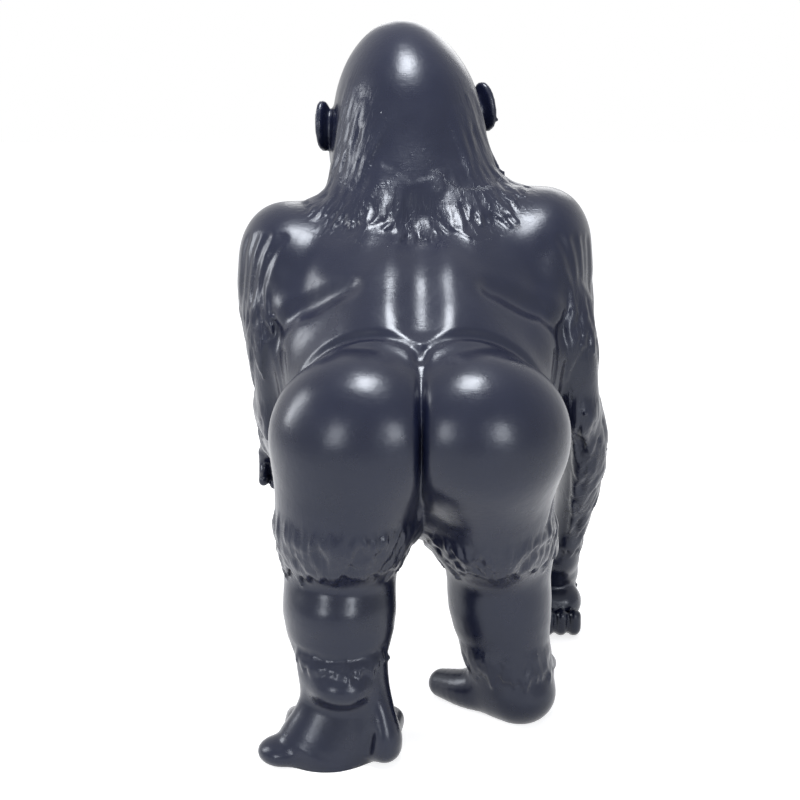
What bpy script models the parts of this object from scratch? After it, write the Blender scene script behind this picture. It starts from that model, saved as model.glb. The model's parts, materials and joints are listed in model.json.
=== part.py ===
"""A life-size gorilla walking on its knuckles: a garden statue cast as one piece.

Metres, +Z up. The gorilla faces +Y and stands on the ground plane z = 0.
The body is blocked out with balls and lofted limbs, joined into one skin with
a voxel remesh and pressed together as clay is. Head, hands and feet are added
the same way, folds are pushed in, locks of fur are laid on, and the soles and
knuckles are cut level where the figure stands.
"""

import math
import random

import bmesh
import bpy
import numpy as np
from mathutils import Euler, Matrix, Vector
from mathutils.bvhtree import BVHTree

BODY_CELL = 0.009
SKIN_CELL = 0.0062
TRIANGLES = 11400
BODY_FILLET = 0.045
DETAIL_FILLET = 0.009

RIGHT_SHOULDER_OUT = 0.251
LEFT_SHOULDER_OUT = 0.265
RIGHT_SHOULDER_HEIGHT = 0.896
LEFT_SHOULDER_HEIGHT = 0.865
CHEST_HALF_WIDTH = 0.272
BELLY_HALF_WIDTH = 0.262
PELVIS_HALF_WIDTH = 0.225
BUTTOCK_OUT = 0.131
BUTTOCK_RADIUS = 0.145
SKULL_HALF_WIDTH = 0.146
CREST_HEIGHT = 0.226
EAR_OUT = 0.178
EAR_HALF_HEIGHT = 0.048
BROW_GIRTH = 0.024
MUZZLE_HALF_WIDTH = 0.088
NECK_HALF_WIDTH = 0.168
UPPER_ARM_HALF_DEPTH = 0.114
FOREARM_HALF_DEPTH = 0.095
WRIST_HALF_WIDTH = 0.039
FINGER_GIRTH = 0.0165
THIGH_HALF_WIDTH = 0.131
CALF_HALF_WIDTH = 0.102
TOE_GIRTH = 0.022
LOCK_WIDTH = 0.026
LOCK_DEPTH = 0.019


def clear_scene():
    for obj in list(bpy.data.objects):
        bpy.data.objects.remove(obj, do_unlink=True)


# Clay: the shapes that the figure is blocked out with


def turned(angles):
    return Euler([math.radians(a) for a in angles]).to_matrix().to_4x4()


def ball(clay, centre, radii, turn=(0, 0, 0), place=Matrix()):
    """An ellipsoid with these half sizes, turned by these angles in degrees."""
    own = Matrix.Translation(centre) @ turned(turn) @ Matrix.Diagonal((*radii, 1))
    bmesh.ops.create_uvsphere(clay, u_segments=28, v_segments=16, radius=1, matrix=place @ own)


def smooth_path(stations, steps):
    """Catmull-Rom rows through the stations; each is a tuple of numbers."""
    rows = np.array(stations, float)
    rows = np.vstack([2 * rows[0] - rows[1], rows, 2 * rows[-1] - rows[-2]])
    found = []
    for i in range(1, len(rows) - 2):
        p0, p1, p2, p3 = rows[i - 1 : i + 3]
        for k in range(steps):
            t = k / steps
            curve = 2 * p1 + (p2 - p0) * t
            curve = curve + (2 * p0 - 5 * p1 + 4 * p2 - p3) * t**2
            curve = curve + (3 * p1 - p0 - 3 * p2 + p3) * t**3
            found.append(curve / 2)
    found.append(rows[-2])
    return np.array(found)


def limb(clay, stations, side=(1, 0, 0), steps=5, ring=20, place=Matrix()):
    """A tube with domed ends through stations of (x, y, z, half width, half depth).

    The width lies along side, and the depth square to it and to the path.
    """
    path = smooth_path(stations, steps)
    points = [place @ Vector(row[:3]) for row in path]
    side = place.to_3x3() @ Vector(side)
    last = len(points) - 1
    tangents = [(points[min(i + 1, last)] - points[max(i - 1, 0)]).normalized() for i in range(last + 1)]
    dome = [math.radians(a) for a in (18, 40, 62)]
    sections = [(0, -math.cos(a) * min(path[0][3:]), math.sin(a)) for a in dome]
    sections += [(i, 0, 1) for i in range(last + 1)]
    sections += [(last, math.cos(a) * min(path[-1][3:]), math.sin(a)) for a in reversed(dome)]
    rings = []
    for i, shift, wide in sections:
        across = (side - tangents[i] * side.dot(tangents[i])).normalized()
        deep = tangents[i].cross(across)
        centre = points[i] + tangents[i] * shift
        loop = []
        for k in range(ring):
            angle = 2 * math.pi * k / ring
            offset = across * (math.cos(angle) * path[i][3]) + deep * (math.sin(angle) * path[i][4])
            loop.append(clay.verts.new(centre + offset * wide))
        rings.append(loop)
    for low, high in zip(rings, rings[1:]):
        for k in range(ring):
            clay.faces.new((low[k], low[(k + 1) % ring], high[(k + 1) % ring], high[k]))
    clay.faces.new(list(reversed(rings[0])))
    clay.faces.new(rings[-1])


def bake(obj):
    """Replace the object's mesh by what its modifiers make of it."""
    graph = bpy.context.evaluated_depsgraph_get()
    baked = bpy.data.meshes.new_from_object(obj.evaluated_get(graph))
    obj.modifiers.clear()
    obj.data = baked


def fuse(obj, clay, cell):
    """Join the clay to the object as one closed skin."""
    bmesh.ops.recalc_face_normals(clay, faces=clay.faces)
    clay.from_mesh(obj.data)
    clay.to_mesh(obj.data)
    clay.free()
    remesh = obj.modifiers.new("one_skin", "REMESH")
    remesh.mode = "VOXEL"
    remesh.voxel_size = cell
    bake(obj)


class Skin:
    """The points of the object's mesh, with what it takes to push them about."""

    def __init__(self, obj):
        self.mesh = obj.data
        self.points = np.empty(len(self.mesh.vertices) * 3)
        self.mesh.vertices.foreach_get("co", self.points)
        self.points = self.points.reshape(-1, 3)
        edges = np.empty(len(self.mesh.edges) * 2, int)
        self.mesh.edges.foreach_get("vertices", edges)
        self.edges = edges.reshape(-1, 2)
        self.degree = np.bincount(edges, minlength=len(self.points))[:, None]
        self.mesh.calc_loop_triangles()
        corners = np.empty(len(self.mesh.loop_triangles) * 3, int)
        self.mesh.loop_triangles.foreach_get("vertices", corners)
        self.triangles = corners.reshape(-1, 3)

    def normals(self):
        a, b, c = (self.points[self.triangles[:, k]] for k in range(3))
        faces = np.cross(b - a, c - a)
        total = np.zeros_like(self.points)
        for axis in range(3):
            for k in range(3):
                total[:, axis] += np.bincount(self.triangles[:, k], faces[:, axis], len(total))
        return total / np.maximum(np.linalg.norm(total, axis=1), 1e-12)[:, None]

    def toward_mean(self):
        """From each point to the mean of its neighbours."""
        total = np.zeros_like(self.points)
        first, second = self.edges.T
        for axis in range(3):
            column = self.points[:, axis]
            total[:, axis] = np.bincount(first, column[second], len(total))
            total[:, axis] += np.bincount(second, column[first], len(total))
        return total / self.degree - self.points

    def press(self, radius, cell):
        """Fill the creases to about this radius and leave the crests alone."""
        for k in range(max(2, round(1.6 * (radius / cell) ** 2))):
            if k % 4 == 0:
                normals = self.normals()
            outward = np.maximum((self.toward_mean() * normals).sum(1), 0)
            self.points += 0.9 * outward[:, None] * normals

    def even(self, rounds):
        """Smooth the skin without shrinking it much."""
        for k in range(2 * rounds):
            self.points += (0.5, -0.48)[k % 2] * self.toward_mean()

    def push(self, line, width, depth):
        """Press a fold of this half width and depth along a line; less at its ends."""
        path = smooth_path(line, 6)
        for n, point in enumerate(path):
            path[n] = self.points[((self.points - point) ** 2).sum(1).argmin()]
        nearest = np.full(len(self.points), width)
        weight = np.zeros(len(self.points))
        for n, (start, end) in enumerate(zip(path, path[1:])):
            along = end - start
            share = np.clip((self.points - start) @ along / max(along @ along, 1e-9), 0, 1)
            gap = np.linalg.norm(self.points - start - share[:, None] * along, axis=1)
            closer = gap < nearest
            nearest[closer] = gap[closer]
            weight[closer] = np.sin(math.pi * (n + share[closer] + 0.6) / (len(path) + 0.2))
        fade = (1 - (nearest / width) ** 2) ** 2 * weight
        self.points -= (depth * fade)[:, None] * self.normals()

    def store(self):
        self.mesh.vertices.foreach_set("co", self.points.ravel())
        self.mesh.update()


def thin_out(obj, triangles):
    """Keep about this many triangles, most of them where the form turns."""
    obj.data.calc_loop_triangles()
    decimate = obj.modifiers.new("fewer_facets", "DECIMATE")
    decimate.ratio = min(1, triangles / len(obj.data.loop_triangles))
    decimate.use_collapse_triangulate = True
    bake(obj)


def stand_flat(obj):
    """Cut the soles and the knuckles level with the ground."""
    slab = bmesh.new()
    size = Matrix.Diagonal((2, 3, 0.2, 1))
    bmesh.ops.create_cube(slab, size=1, matrix=Matrix.Translation((0, 0.5, -0.1)) @ size)
    ground = bpy.data.objects.new("ground_cutter", bpy.data.meshes.new("ground_cutter"))
    slab.to_mesh(ground.data)
    slab.free()
    bpy.context.scene.collection.objects.link(ground)
    cut = obj.modifiers.new("level_soles", "BOOLEAN")
    cut.operation = "DIFFERENCE"
    cut.object = ground
    bake(obj)
    bpy.data.objects.remove(ground, do_unlink=True)


def centre_on_origin(obj):
    """Move the figure so that the middle of its box's bottom is the origin."""
    points = np.empty(len(obj.data.vertices) * 3)
    obj.data.vertices.foreach_get("co", points)
    points = points.reshape(-1, 3)
    middle = (points.min(axis=0) + points.max(axis=0)) / 2
    obj.data.transform(Matrix.Translation((-middle[0], -middle[1], 0)))


# Fur: locks laid on the skin


class Coat:
    """Locks of fur, each placed on the bare skin before any is joined."""

    def __init__(self, obj, seed):
        bare = bmesh.new()
        bare.from_mesh(obj.data)
        self.tree = BVHTree.FromBMesh(bare)
        bare.free()
        self.chance = random.Random(seed)
        self.clay = bmesh.new()

    def snap(self, point, height):
        place, normal, _, _ = self.tree.find_nearest(point)
        return place + normal * height, normal

    def lock(self, root, tip, width):
        """One lock: it lies on the skin, swells and runs out to a point."""
        start, _ = self.snap(root, -0.4 * LOCK_DEPTH)
        middle, normal = self.snap(root.lerp(tip, 0.45), 0.10 * LOCK_DEPTH)
        end, _ = self.snap(tip, 0.05 * LOCK_DEPTH)
        stations = [
            (*start, 0.42 * width, 0.40 * LOCK_DEPTH),
            (*middle, 0.50 * width, 0.50 * LOCK_DEPTH),
            (*end, 0.18 * width, 0.22 * LOCK_DEPTH),
        ]
        limb(self.clay, stations, side=(end - start).cross(normal), steps=3, ring=10)

    def fringe(self, line, fall, length, rows=1):
        """Rows of locks along a line of points near the skin, falling one way."""
        path = smooth_path(line, 8)
        run = np.concatenate([[0], np.cumsum(np.linalg.norm(np.diff(path, axis=0), axis=1))])
        fall = Vector(fall)
        count = max(2, round(run[-1] / (0.82 * LOCK_WIDTH)))
        for row in range(rows):
            for n in range(count):
                share = n + 0.5 * (row % 2) + 0.5 + self.chance.uniform(-0.2, 0.2)
                at = share / (count + 0.5) * run[-1]
                root = Vector([float(np.interp(at, run, path[:, k])) for k in range(3)])
                root -= fall * (row * 0.55 * length)
                drift = Vector([self.chance.uniform(-0.22, 0.22) for _ in range(3)])
                reach = length * self.chance.uniform(0.75, 1.25)
                tip = root + (fall + drift).normalized() * reach
                self.lock(root, tip, LOCK_WIDTH * self.chance.uniform(0.8, 1.2))


def around(centre, radii, first, last, count=7):
    """Points on an arc of a level oval, by angles in degrees; 0 is +X, 90 is +Y."""
    found = []
    for n in range(count):
        angle = math.radians(first + (last - first) * n / (count - 1))
        across, along = radii[0] * math.cos(angle), radii[1] * math.sin(angle)
        found.append((centre[0] + across, centre[1] + along, centre[2]))
    return found


# The figure


def torso(clay):
    ball(clay, (0, 0.430, 0.724), (CHEST_HALF_WIDTH, 0.268, 0.232), (27, 0, 0))
    ball(clay, (0, 0.350, 0.590), (BELLY_HALF_WIDTH, 0.252, 0.232), (12, 0, 0))
    ball(clay, (0, 0.240, 0.640), (PELVIS_HALF_WIDTH, 0.180, 0.165))
    ball(clay, (0, 0.628, 0.810), (0.207, 0.104, 0.150), (-18, 0, 0))
    ball(clay, (0, 0.150, 0.610), (0.070, 0.080, 0.130))
    for side, drop in ((1, 0.015), (-1, 0.035)):
        ball(clay, (side * 0.161, 0.503, 0.918 - drop), (0.146, 0.140, 0.099), (22, side * 8, 0))
        ball(clay, (side * 0.108, 0.410, 0.866), (0.108, 0.125, 0.060), (36, 0, side * -18))
        blade = [(0.040, 0.420, 0.925), (0.085, 0.350, 0.872), (0.150, 0.345, 0.835), (0.215, 0.400, 0.830)]
        limb(clay, [(side * x, y, z - drop, 0.026, 0.026) for x, y, z in blade])
        limb(
            clay,
            [
                (side * 0.254, 0.524, 0.832, 0.048, 0.110),
                (side * 0.253, 0.436, 0.750, 0.048, 0.105),
                (side * 0.213, 0.352, 0.704, 0.048, 0.086),
            ],
        )
        erector = [(0.040, 0.400, 0.888), (0.044, 0.330, 0.848), (0.052, 0.260, 0.810), (0.050, 0.190, 0.764)]
        limb(clay, [(side * x, y, z, 0.038, 0.034) for x, y, z in erector])
        ball(clay, (side * 0.104, 0.668, 0.806), (0.120, 0.058, 0.084), (-22, 0, side * -16))
        buttock = (BUTTOCK_RADIUS, BUTTOCK_RADIUS, 0.152)
        ball(clay, (side * BUTTOCK_OUT, 0.125, 0.626), buttock, (-8, 0, 0))


def cowl(clay):
    """The neck and the nape: one mass from the shoulders to the head."""
    limb(
        clay,
        [
            (-0.004, 0.550, 0.903, 0.196, 0.142),
            (-0.008, 0.590, 0.981, NECK_HALF_WIDTH + 0.020, 0.156),
            (-0.016, 0.634, 1.059, NECK_HALF_WIDTH, 0.161),
            (-0.024, 0.678, 1.127, 0.151, 0.154),
        ],
    )
    for side, drop in ((1, 0.018), (-1, 0.045)):
        ball(clay, (side * 0.158, 0.562, 0.986 - drop), (0.119, 0.104, 0.062), (0, side * 24, 0))


HEAD = Matrix.Translation((-0.028, 0.738, 1.134)) @ turned((0, -6, 10))
LIPS = [
    (-0.074, 0.118, -0.116),
    (-0.044, 0.186, -0.106),
    (0, 0.212, -0.102),
    (0.044, 0.186, -0.106),
    (0.074, 0.118, -0.116),
]


def skull(clay):
    """The head's big masses, in the head's own frame: it looks along +Y."""
    ball(clay, (0, -0.040, 0.060), (SKULL_HALF_WIDTH, 0.160, 0.148), place=HEAD)
    ball(clay, (0, -0.055, CREST_HEIGHT - 0.104), (0.098, 0.144, 0.104), (-6, 0, 0), place=HEAD)
    ball(clay, (0, -0.100, 0.010), (0.132, 0.122, 0.150), (12, 0, 0), place=HEAD)
    ball(clay, (0, 0.070, 0.000), (0.110, 0.087, 0.097), place=HEAD)
    for side in (-1, 1):
        ball(clay, (side * 0.088, 0.026, -0.050), (0.078, 0.094, 0.110), (0, 0, side * 10), place=HEAD)


def face(clay):
    ball(clay, (0, 0.118, -0.086), (MUZZLE_HALF_WIDTH + 0.004, 0.092, 0.060), place=HEAD)
    ball(clay, (0, 0.092, -0.136), (0.082, 0.084, 0.050), place=HEAD)
    arch = [
        (-0.104, 0.070, 0.034),
        (-0.058, 0.134, 0.058),
        (-0.020, 0.150, 0.050),
        (0.020, 0.150, 0.050),
        (0.058, 0.134, 0.058),
        (0.104, 0.070, 0.034),
    ]
    limb(clay, [(*p, BROW_GIRTH, BROW_GIRTH * 1.05) for p in arch], side=(0, 1, 0), place=HEAD)
    nose = [
        (0, 0.128, 0.035, 0.024, 0.022),
        (0, 0.150, -0.002, 0.028, 0.022),
        (0, 0.178, -0.032, 0.034, 0.024),
    ]
    limb(clay, nose, place=HEAD)
    ball(clay, (0, 0.192, -0.036), (0.024, 0.022, 0.019), place=HEAD)
    for rise, girth in ((0.015, 0.0145), (-0.015, 0.0140)):
        lip = [(x * 0.94, y - 0.010, z + rise, girth, girth) for x, y, z in LIPS]
        limb(clay, lip, side=(0, 1, 0), place=HEAD)
    for side in (-1, 1):
        ball(clay, (side * 0.082, 0.086, -0.012), (0.036, 0.042, 0.032), place=HEAD)
        ball(clay, (side * 0.030, 0.186, -0.040), (0.026, 0.022, 0.020), (0, 0, side * -20), place=HEAD)
        ear = (0.012, 0.032, EAR_HALF_HEIGHT)
        root = (0.024, 0.026, EAR_HALF_HEIGHT - 0.012)
        ball(clay, (side * (EAR_OUT - 0.024), -0.008, 0.020), root, (0, 0, side * -24), place=HEAD)
        ball(clay, (side * (EAR_OUT - 0.004), -0.018, 0.026), ear, (0, side * -4, side * -30), place=HEAD)


def eyes(clay):
    for side in (-1, 1):
        ball(clay, (side * 0.042, 0.122, 0.012), (0.0185, 0.0185, 0.0175), place=HEAD)


def push_face(skin):
    """Eye sockets, nostrils, the hollows of the ears and the line of the mouth."""
    for side in (-1, 1):
        socket = [HEAD @ Vector((side * x, 0.152, 0.010)) for x in (0.032, 0.044, 0.058)]
        skin.push(socket, 0.030, 0.020)
        nostril = [HEAD @ Vector((side * x, 0.212, -0.045)) for x in (0.018, 0.024, 0.030)]
        skin.push(nostril, 0.015, 0.009)
        hollow = [HEAD @ Vector((side * (EAR_OUT + 0.008), -0.004, z)) for z in (0.008, 0.026, 0.044)]
        skin.push(hollow, 0.022, 0.009)
    skin.push([HEAD @ Vector((x, y + 0.004, z)) for x, y, z in LIPS], 0.013, 0.010)


def leg(clay, hip, thigh, knee, calf, ankle):
    """A hind leg through stations of (x, y, z, half width, half depth)."""
    limb(clay, [hip, thigh, knee])
    limb(clay, [(*knee[:3], knee[3] * 0.84, knee[4] * 0.84), calf, ankle])
    kneecap = Vector(knee[:3]) + Vector((0, 0.62 * knee[4], 0.004))
    ball(clay, kneecap, (0.055, 0.045, 0.058), (14, 0, 0))


def left_foot(clay):
    """The trailing foot: heel raised, standing on the ball and the toes."""
    ball(clay, (-0.146, 0.046, 0.156), (0.058, 0.050, 0.038))
    limb(
        clay,
        [
            (-0.148, 0.085, 0.170, 0.080, 0.055),
            (-0.147, 0.078, 0.108, 0.082, 0.048),
            (-0.160, 0.070, 0.055, 0.088, 0.056),
            (-0.182, 0.066, 0.014, 0.094, 0.067),
        ],
    )
    ball(clay, (-0.258, 0.054, 0.018), (0.050, 0.044, 0.027))
    ball(clay, (-0.068, 0.040, 0.040), (0.036, 0.042, 0.042))
    limb(clay, [(-0.070, 0.060, 0.040, 0.030, 0.034), (-0.056, 0.150, 0.030, 0.027, 0.028)])
    for k in range(4):
        root = Vector((-0.236 + 0.030 * k, 0.100 + 0.012 * k, 0.022))
        tip = root + Vector((-0.010 + 0.004 * k, 0.098 + 0.002 * k, -0.008))
        middle = (root + tip) / 2 + Vector((0, 0, 0.008))
        girth = [TOE_GIRTH * g for g in (1.12, 1.04, 0.86)]
        stations = [(*p, g, 1.08 * g) for p, g in zip((root, middle, tip), girth)]
        limb(clay, stations, side=(0.9, 0.4, 0))


def right_foot(clay):
    """The leading foot, flat on the ground."""
    ball(clay, (0.203, 0.229, 0.052), (0.073, 0.067, 0.065))
    limb(
        clay,
        [
            (0.190, 0.260, 0.080, 0.070, 0.070),
            (0.192, 0.330, 0.050, 0.078, 0.052),
            (0.196, 0.410, 0.032, 0.088, 0.036),
        ],
    )
    limb(
        clay,
        [
            (0.150, 0.250, 0.046, 0.045, 0.050),
            (0.100, 0.275, 0.036, 0.040, 0.040),
            (0.052, 0.315, 0.028, 0.030, 0.030),
        ],
        side=(0.7, 0.7, 0),
    )
    for k in range(4):
        root = Vector((0.136 + 0.040 * k, 0.420 - 0.014 * k, 0.032))
        tip = root + Vector((-0.004 + 0.010 * k, 0.085 - 0.012 * k, -0.012))
        middle = (root + tip) / 2 + Vector((0, 0, 0.010))
        girth = [TOE_GIRTH * g for g in (1.09, 1.0, 0.82)]
        stations = [(*p, g, 1.1 * g) for p, g in zip((root, middle, tip), girth)]
        limb(clay, stations)


def shoulder_and_upper_arm(clay, side, out, height, elbow):
    ball(clay, (side * out, 0.533, height), (0.105, 0.139, 0.135), (0, side * 10, 0))
    top = Vector((side * (out + 0.026), 0.535, height - 0.060))
    middle = top.lerp(Vector(elbow), 0.5)
    limb(
        clay,
        [
            (*top, 0.078, 0.125),
            (*middle, 0.060, UPPER_ARM_HALF_DEPTH),
            (*elbow, 0.046, 0.076),
        ],
    )


def forearm(clay, path, widths):
    """From the elbow to the wrist, thickest just below the elbow."""
    depths = [FOREARM_HALF_DEPTH * d for d in (0.86, 1.0, 0.84, 0.60, 0.48)]
    limb(clay, [(*p, w, d) for p, w, d in zip(path, widths, depths)])


def muscle(clay, points, half_width, half_depth):
    limb(clay, [(*p, half_width, half_depth) for p in points])


def arms(clay):
    elbow = (0.333, 0.514, 0.583)
    shoulder_and_upper_arm(clay, 1, RIGHT_SHOULDER_OUT, RIGHT_SHOULDER_HEIGHT, elbow)
    below = [(0.357, 0.552, 0.478), (0.352, 0.580, 0.384), (0.337, 0.612, 0.278), (0.328, 0.636, 0.185)]
    forearm(clay, [elbow, *below], (0.046, 0.052, 0.047, 0.039, WRIST_HALF_WIDTH))
    muscle(clay, [(0.300, 0.440, 0.800), (0.318, 0.425, 0.700), (0.325, 0.450, 0.610)], 0.045, 0.040)
    muscle(clay, [(0.290, 0.610, 0.780), (0.305, 0.618, 0.700), (0.325, 0.590, 0.600)], 0.042, 0.036)
    ball(clay, (0.334, 0.440, 0.572), (0.032, 0.034, 0.044))
    elbow = (-0.292, 0.514, 0.578)
    shoulder_and_upper_arm(clay, -1, LEFT_SHOULDER_OUT, LEFT_SHOULDER_HEIGHT, elbow)
    below = [(-0.298, 0.597, 0.528), (-0.306, 0.703, 0.471), (-0.315, 0.785, 0.428), (-0.321, 0.825, 0.408)]
    forearm(clay, [elbow, *below], (0.044, 0.047, 0.042, 0.035, WRIST_HALF_WIDTH * 0.9))
    muscle(clay, [(-0.296, 0.440, 0.780), (-0.292, 0.425, 0.690), (-0.288, 0.440, 0.600)], 0.042, 0.040)
    muscle(clay, [(-0.292, 0.610, 0.750), (-0.290, 0.620, 0.680), (-0.290, 0.610, 0.600)], 0.042, 0.036)
    ball(clay, (-0.290, 0.436, 0.552), (0.031, 0.034, 0.040))


def right_hand(clay):
    """The planted fist: it stands on the backs of its folded fingers."""
    limb(
        clay,
        [
            (0.324, 0.636, 0.190, WRIST_HALF_WIDTH, 0.040),
            (0.319, 0.668, 0.140, 0.054, 0.040),
            (0.316, 0.704, 0.100, 0.057, 0.038),
        ],
    )
    ball(clay, (0.315, 0.672, 0.064), (0.052, 0.070, 0.055))
    for k in range(4):
        x = 0.271 + 0.0295 * k
        fold = [
            (0.718, 0.100, 0.90),
            (0.740, 0.058, 1.00),
            (0.718, 0.016, 1.00),
            (0.618, 0.016, 0.97),
            (0.602, 0.052, 0.88),
        ]
        limb(clay, [(x, y, z, FINGER_GIRTH * g, 1.12 * FINGER_GIRTH * g) for y, z, g in fold])
    thumb = [(0.281, 0.645, 0.125, 0.018), (0.254, 0.634, 0.085, 0.016), (0.250, 0.630, 0.050, 0.013)]
    limb(clay, [(x, y, z, g, g) for x, y, z, g in thumb])


def left_hand(clay):
    """The lifted hand: the fingers hang relaxed from the wrist."""
    limb(
        clay,
        [
            (-0.321, 0.806, 0.419, 0.034, 0.032),
            (-0.323, 0.846, 0.392, 0.046, 0.029),
            (-0.325, 0.872, 0.359, 0.050, 0.026),
        ],
    )
    for k in range(4):
        x = -0.363 + 0.0260 * k
        drop = 0.008 * min(k, 2)
        hang = [
            (0.870, 0.359, 0.90),
            (0.878, 0.331, 0.90),
            (0.860, 0.307 - drop, 0.84),
            (0.833, 0.299 - drop, 0.74),
        ]
        limb(clay, [(x, y, z, FINGER_GIRTH * g, 1.08 * FINGER_GIRTH * g) for y, z, g in hang])
    thumb = [(-0.289, 0.826, 0.394, 0.016), (-0.272, 0.831, 0.355, 0.014), (-0.276, 0.826, 0.326, 0.012)]
    limb(clay, [(x, y, z, g, g) for x, y, z, g in thumb])


def push_folds(skin):
    """Folds and furrows of the bare skin: width and depth with each line."""
    spine = [(0, 0.470, 0.955), (0, 0.375, 0.890), (0, 0.290, 0.835), (0, 0.200, 0.785)]
    skin.push(spine, 0.045, 0.012)
    cleft = [(0, 0.110, 0.760), (0, 0.074, 0.690), (0, 0.068, 0.610), (0, 0.090, 0.520)]
    skin.push(cleft, 0.034, 0.014)
    skin.push([(0, 0.720, 0.880), (0, 0.735, 0.800), (0, 0.700, 0.720)], 0.040, 0.010)
    skin.push([(-0.012, 0.618, 0.540), (0, 0.620, 0.540), (0.012, 0.618, 0.540)], 0.016, 0.007)
    for side in (-1, 1):
        waist = [(0.010, 0.150, 0.760), (0.080, 0.190, 0.775), (0.170, 0.210, 0.755), (0.245, 0.220, 0.690)]
        skin.push([(side * x, y, z) for x, y, z in waist], 0.030, 0.010)
        lat_edge = [(0.060, 0.330, 0.870), (0.150, 0.310, 0.815), (0.240, 0.350, 0.770)]
        skin.push([(side * x, y, z) for x, y, z in lat_edge], 0.040, 0.008)


def fur(obj):
    """The fur's ragged edges, where one bulk of the coat ends over the next."""
    coat = Coat(obj, 4)
    down = (0, -0.12, -1)
    nape = [
        (-0.205, 0.560, 1.020),
        (-0.160, 0.500, 1.005),
        (-0.090, 0.462, 0.985),
        (-0.012, 0.448, 0.960),
        (0.078, 0.462, 0.985),
        (0.150, 0.500, 1.015),
        (0.198, 0.550, 1.040),
    ]
    coat.fringe(nape, (0, -0.50, -0.85), 0.095, rows=2)
    for side, drop in ((1, 0), (-1, 0.028)):
        deltoid = [
            (0.235, 0.405, 0.800),
            (0.300, 0.395, 0.770),
            (0.355, 0.455, 0.745),
            (0.372, 0.545, 0.745),
            (0.345, 0.640, 0.775),
        ]
        line = [(side * x, y, z - drop) for x, y, z in deltoid]
        coat.fringe(line, (side * 0.05, -0.10, -1), 0.070)
        temple = [(0.146, 0.004, -0.030), (0.138, 0.018, -0.070)]
        temple += [(0.118, 0.036, -0.115), (0.075, 0.060, -0.165)]
        cheek = [HEAD @ Vector((side * x, y, z)) for x, y, z in temple]
        coat.fringe(cheek, (side * 0.2, -0.6, -0.75), 0.060)
    elbow = [(0.300, 0.420, 0.600), (0.345, 0.415, 0.570), (0.380, 0.470, 0.545), (0.385, 0.550, 0.540)]
    coat.fringe(elbow, (0, -0.10, -1), 0.075)
    for height, near in ((0.470, 0.470), (0.400, 0.500), (0.330, 0.530)):
        back = (0.315, near - 0.015, height + 0.020)
        side = (0.391, near + 0.060, height - 0.010)
        coat.fringe([back, (0.368, near, height), side], (0.02, 0.05, -1), 0.070)
    elbow = [(-0.262, 0.420, 0.585), (-0.300, 0.410, 0.570), (-0.328, 0.460, 0.560), (-0.333, 0.560, 0.575)]
    coat.fringe(elbow, (-0.03, 0.05, -1), 0.065)
    for ahead in (0.60, 0.68, 0.75):
        rise = (0.68 - ahead) * 0.5
        under = [
            (-0.280, ahead, 0.430 + rise),
            (-0.335, ahead + 0.010, 0.440 + rise),
            (-0.352, ahead + 0.020, 0.500 + rise),
        ]
        coat.fringe(under, (0, 0.35, -0.9), 0.055)
    coat.fringe(around((-0.152, 0.165, 0.388), (0.115, 0.130), -190, 10, 11), down, 0.060)
    coat.fringe(around((0.156, 0.245, 0.374), (0.115, 0.130), -190, 10, 11), down, 0.060)
    coat.fringe(around((-0.150, 0.100, 0.215), (0.090, 0.090), -165, -15), down, 0.030)
    coat.fringe(around((0.180, 0.258, 0.128), (0.090, 0.092), -175, -5), down, 0.042)
    belly = [(-0.060, 0.420, 0.385), (0.010, 0.440, 0.375), (0.080, 0.420, 0.385)]
    coat.fringe(belly, (0, -0.5, -0.8), 0.070)
    return coat.clay


def body(clay):
    torso(clay)
    cowl(clay)
    skull(clay)
    leg(
        clay,
        (-0.130, 0.150, 0.580, 0.134, 0.145),
        (-0.142, 0.140, 0.470, THIGH_HALF_WIDTH, 0.142),
        (-0.151, 0.178, 0.372, 0.111, 0.114),
        (-0.153, 0.138, 0.275, CALF_HALF_WIDTH + 0.007, 0.100),
        (-0.146, 0.095, 0.185, 0.082, 0.072),
    )
    leg(
        clay,
        (0.130, 0.170, 0.580, 0.130, 0.145),
        (0.136, 0.205, 0.460, THIGH_HALF_WIDTH - 0.007, 0.140),
        (0.157, 0.262, 0.352, 0.111, 0.112),
        (0.162, 0.258, 0.240, CALF_HALF_WIDTH + 0.002, 0.096),
        (0.182, 0.252, 0.110, 0.078, 0.078),
    )
    arms(clay)


def model():
    statue = bpy.data.objects.new("gorilla", bpy.data.meshes.new("gorilla"))
    bpy.context.scene.collection.objects.link(statue)
    clay = bmesh.new()
    body(clay)
    fuse(statue, clay, BODY_CELL)
    skin = Skin(statue)
    skin.press(BODY_FILLET, BODY_CELL)
    skin.even(4)
    skin.store()
    clay = bmesh.new()
    face(clay)
    left_foot(clay)
    right_foot(clay)
    right_hand(clay)
    left_hand(clay)
    fuse(statue, clay, SKIN_CELL)
    skin = Skin(statue)
    skin.press(DETAIL_FILLET, SKIN_CELL)
    push_folds(skin)
    push_face(skin)
    skin.even(2)
    skin.store()
    clay = fur(statue)
    eyes(clay)
    fuse(statue, clay, SKIN_CELL)
    skin = Skin(statue)
    skin.even(2)
    skin.store()
    return statue


def satin_paint():
    paint = bpy.data.materials.new("satin_black_paint")
    paint.use_nodes = True
    shader = paint.node_tree.nodes["Principled BSDF"]
    shader.inputs["Base Color"].default_value = (0.024, 0.027, 0.038, 1)
    shader.inputs["Roughness"].default_value = 0.36
    shader.inputs["Metallic"].default_value = 0
    return paint


def main():
    clear_scene()
    statue = model()
    thin_out(statue, TRIANGLES)
    stand_flat(statue)
    centre_on_origin(statue)
    statue.data.materials.append(satin_paint())
    for facet in statue.data.polygons:
        facet.use_smooth = True


if __name__ == "__main__":
    main()
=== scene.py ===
import json
import math
import random

import bmesh
import bpy
import numpy as np
from mathutils import Euler, Matrix, Vector

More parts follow.
